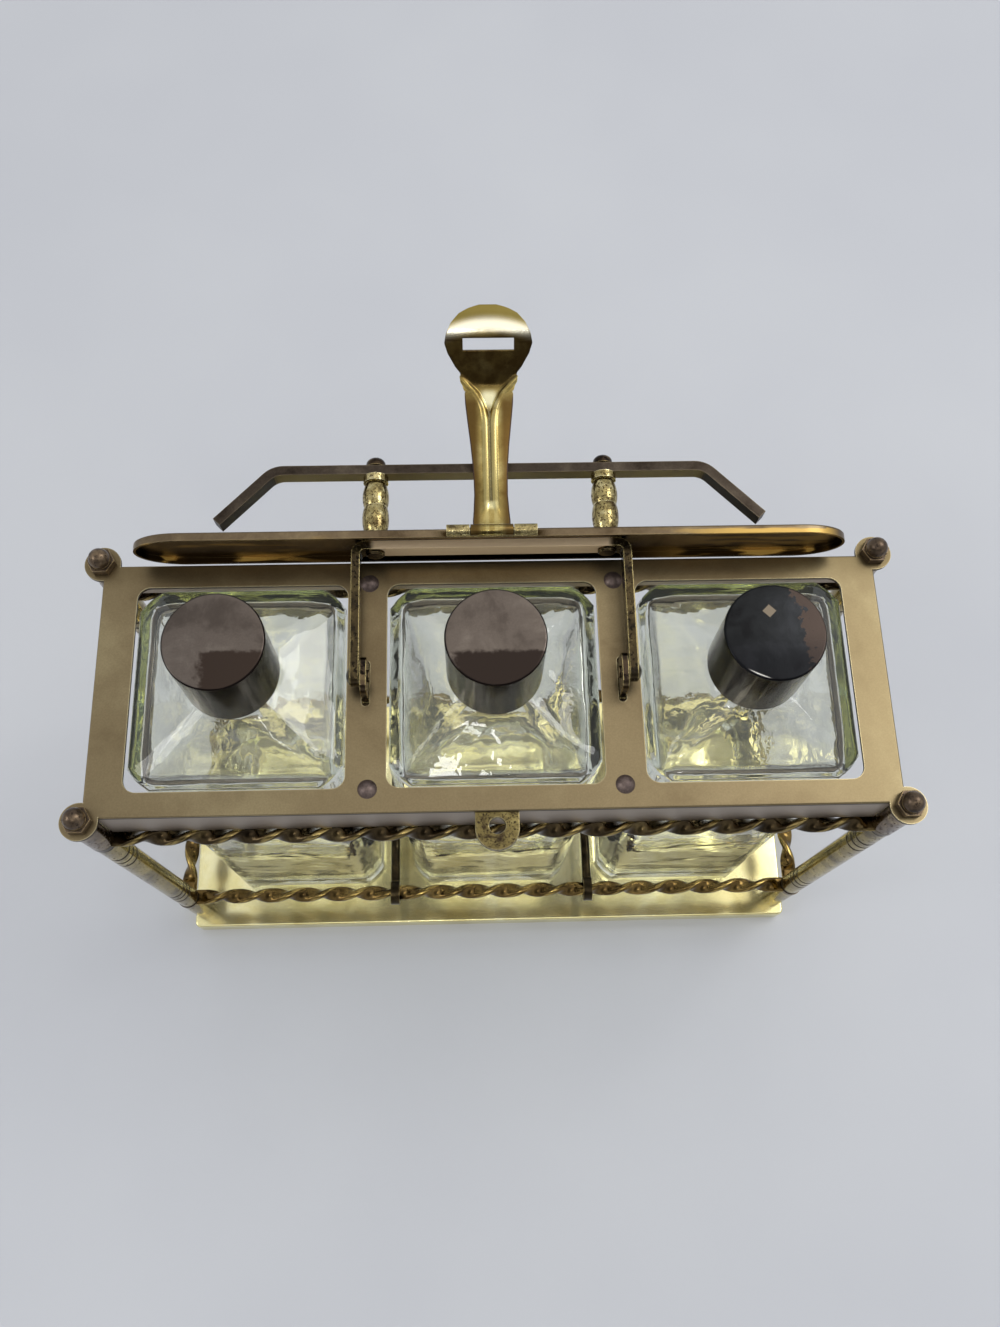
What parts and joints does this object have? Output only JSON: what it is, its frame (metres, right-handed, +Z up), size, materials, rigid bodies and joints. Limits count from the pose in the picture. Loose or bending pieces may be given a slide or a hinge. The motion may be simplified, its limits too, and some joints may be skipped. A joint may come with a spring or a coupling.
{
  "type": "tantalus",
  "caption": "Brass frame locking square glass decanters under a swinging bar with carrying handle and hasp.",
  "frame": {"origin": "on the surface it stands on, under the middle of the base tray", "axes": "+X along the row of bottles, +Y to the back where the bar falls open, +Z up"},
  "size_m": [0.3156, 0.1974, 0.2746],
  "materials": {
    "plate_brass": "satin, old lacquer",
    "tray_brass": "polished",
    "post_brass": "satin, grey tarnish",
    "dark_bronze": "dark patina, rubbed high spots",
    "rivet_bronze": "dark patina",
    "bar_brass": "brown patina outside, polished inside",
    "worn_brass": "worn and pitted",
    "hasp_brass": "polished",
    "cap_metal": "dark gloss patina",
    "glass": "clear, faint green",
    "cork": "plain cork"
  },
  "bodies": {
    "frame": {"base_tray": "tray_brass", "top_plate": "plate_brass", "padlock_staple": "worn_brass", "sleeve_front_left": "post_brass", "sleeve_front_right": "post_brass", "sleeve_back_left": "post_brass", "sleeve_back_right": "post_brass", "post_front_left": "post_brass", "post_front_right": "post_brass", "post_back_left": "post_brass", "post_back_right": "post_brass", "foot_front_left": "post_brass", "foot_front_right": "post_brass", "foot_back_left": "post_brass", "foot_back_right": "post_brass", "tie_rods": "post_brass", "acorn_nuts": "rivet_bronze", "base_nuts": "rivet_bronze", "plate_rivets": "rivet_bronze", "rail_upper_front": "dark_bronze", "rail_upper_back": "dark_bronze", "rail_upper_left": "dark_bronze", "rail_upper_right": "dark_bronze", "rail_lower_front": "dark_bronze", "rail_lower_back": "dark_bronze", "rail_lower_left": "dark_bronze", "rail_lower_right": "dark_bronze", "divider_left": "dark_bronze", "divider_right": "dark_bronze", "pivot_bracket_left": "dark_bronze", "pivot_bracket_right": "dark_bronze", "pivot_pins": "dark_bronze"},
    "locking_bar": {"locking_bar": "bar_brass", "bail": "worn_brass", "pillar_left": "worn_brass", "pillar_right": "worn_brass", "handle_bar": "dark_bronze", "handle_screws": "rivet_bronze", "bar_screws": "rivet_bronze", "hinge_leaf": "worn_brass", "hinge_pin": "worn_brass"},
    "hasp": {"hasp": "hasp_brass"},
    "bottle_left": {"bottle_left": "glass"},
    "stopper_left": {"cap_left": "cap_metal", "cork_left": "cork"},
    "bottle_middle": {"bottle_middle": "glass"},
    "stopper_middle": {"cap_middle": "cap_metal", "cork_middle": "cork"},
    "bottle_right": {"bottle_right": "glass"},
    "stopper_right": {"cap_right": "cap_metal", "cork_right": "cork"}
  },
  "joints": [
    {"name": "bar_swing", "type": "hinge", "parent": "frame", "child": "locking_bar", "pos_m": [0, 0, 0.2342], "axis": [-1, 0, 0], "range_deg": [-87, 0]},
    {"name": "hasp_swing", "type": "hinge", "parent": "locking_bar", "child": "hasp", "pos_m": [0, 0.05038, 0.25211], "axis": [-1, 0, 0], "range_deg": [-141, 12]},
    {"name": "bottle_left_lift", "type": "slide", "parent": "frame", "child": "bottle_left", "axis": [0, 0, 1], "range_m": [0, 0.226]},
    {"name": "stopper_left_lift", "type": "slide", "parent": "bottle_left", "child": "stopper_left", "axis": [0, 0, 1], "range_m": [0, 0.034]},
    {"name": "bottle_middle_lift", "type": "slide", "parent": "frame", "child": "bottle_middle", "axis": [0, 0, 1], "range_m": [0, 0.226]},
    {"name": "stopper_middle_lift", "type": "slide", "parent": "bottle_middle", "child": "stopper_middle", "axis": [0, 0, 1], "range_m": [0, 0.034]},
    {"name": "bottle_right_lift", "type": "slide", "parent": "frame", "child": "bottle_right", "axis": [0, 0, 1], "range_m": [0, 0.226]},
    {"name": "stopper_right_lift", "type": "slide", "parent": "bottle_right", "child": "stopper_right", "axis": [0, 0, 1], "range_m": [0, 0.034]}
  ]
}
